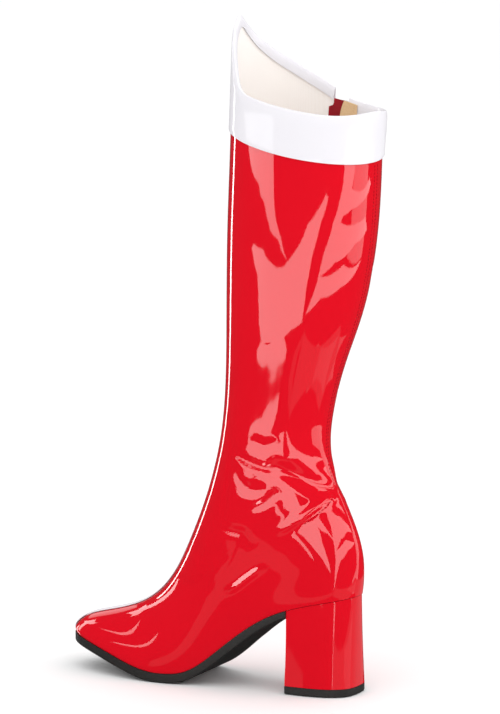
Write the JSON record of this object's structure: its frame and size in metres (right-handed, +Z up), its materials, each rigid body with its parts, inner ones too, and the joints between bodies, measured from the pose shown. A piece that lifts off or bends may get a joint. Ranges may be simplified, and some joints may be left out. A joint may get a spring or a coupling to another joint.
{
  "type": "costume boot",
  "caption": "Knee-high glossy boot for the left foot, with a block heel, a peaked pale cuff, a front stripe and a zip on the inner side with a hinged pull tab.",
  "frame": {"origin": "centre of the overall box, on the floor that sole and heel stand on", "axes": "+X to the outer side of the foot, -Y to the toe, +Z up"},
  "size_m": [0.1097, 0.2581, 0.5165],
  "materials": {
    "red_patent": "high gloss patent",
    "white_patent": "soft gloss patent",
    "black_rubber": "matt",
    "cream_lining": "matt",
    "tan_lining": "matt",
    "red_tape": "woven, matt",
    "grey_metal": "satin"
  },
  "bodies": {
    "boot": {"outsole": "black_rubber", "heel_block": "red_patent", "top_lift": "black_rubber", "insole": "cream_lining", "upper": "red_patent", "cuff": "white_patent", "front_stripe": "white_patent", "zip": "red_tape", "zip_slider": "grey_metal", "zip_guard": "tan_lining"},
    "pull": {"zip_pull": "grey_metal"}
  },
  "joints": [
    {"name": "pull_swing", "type": "hinge", "parent": "boot", "child": "pull", "pos_m": [-0.05329, 0.06982, 0.44011], "axis": [0.0457, 0.997, -0.0623], "range_deg": [0, 165]}
  ]
}
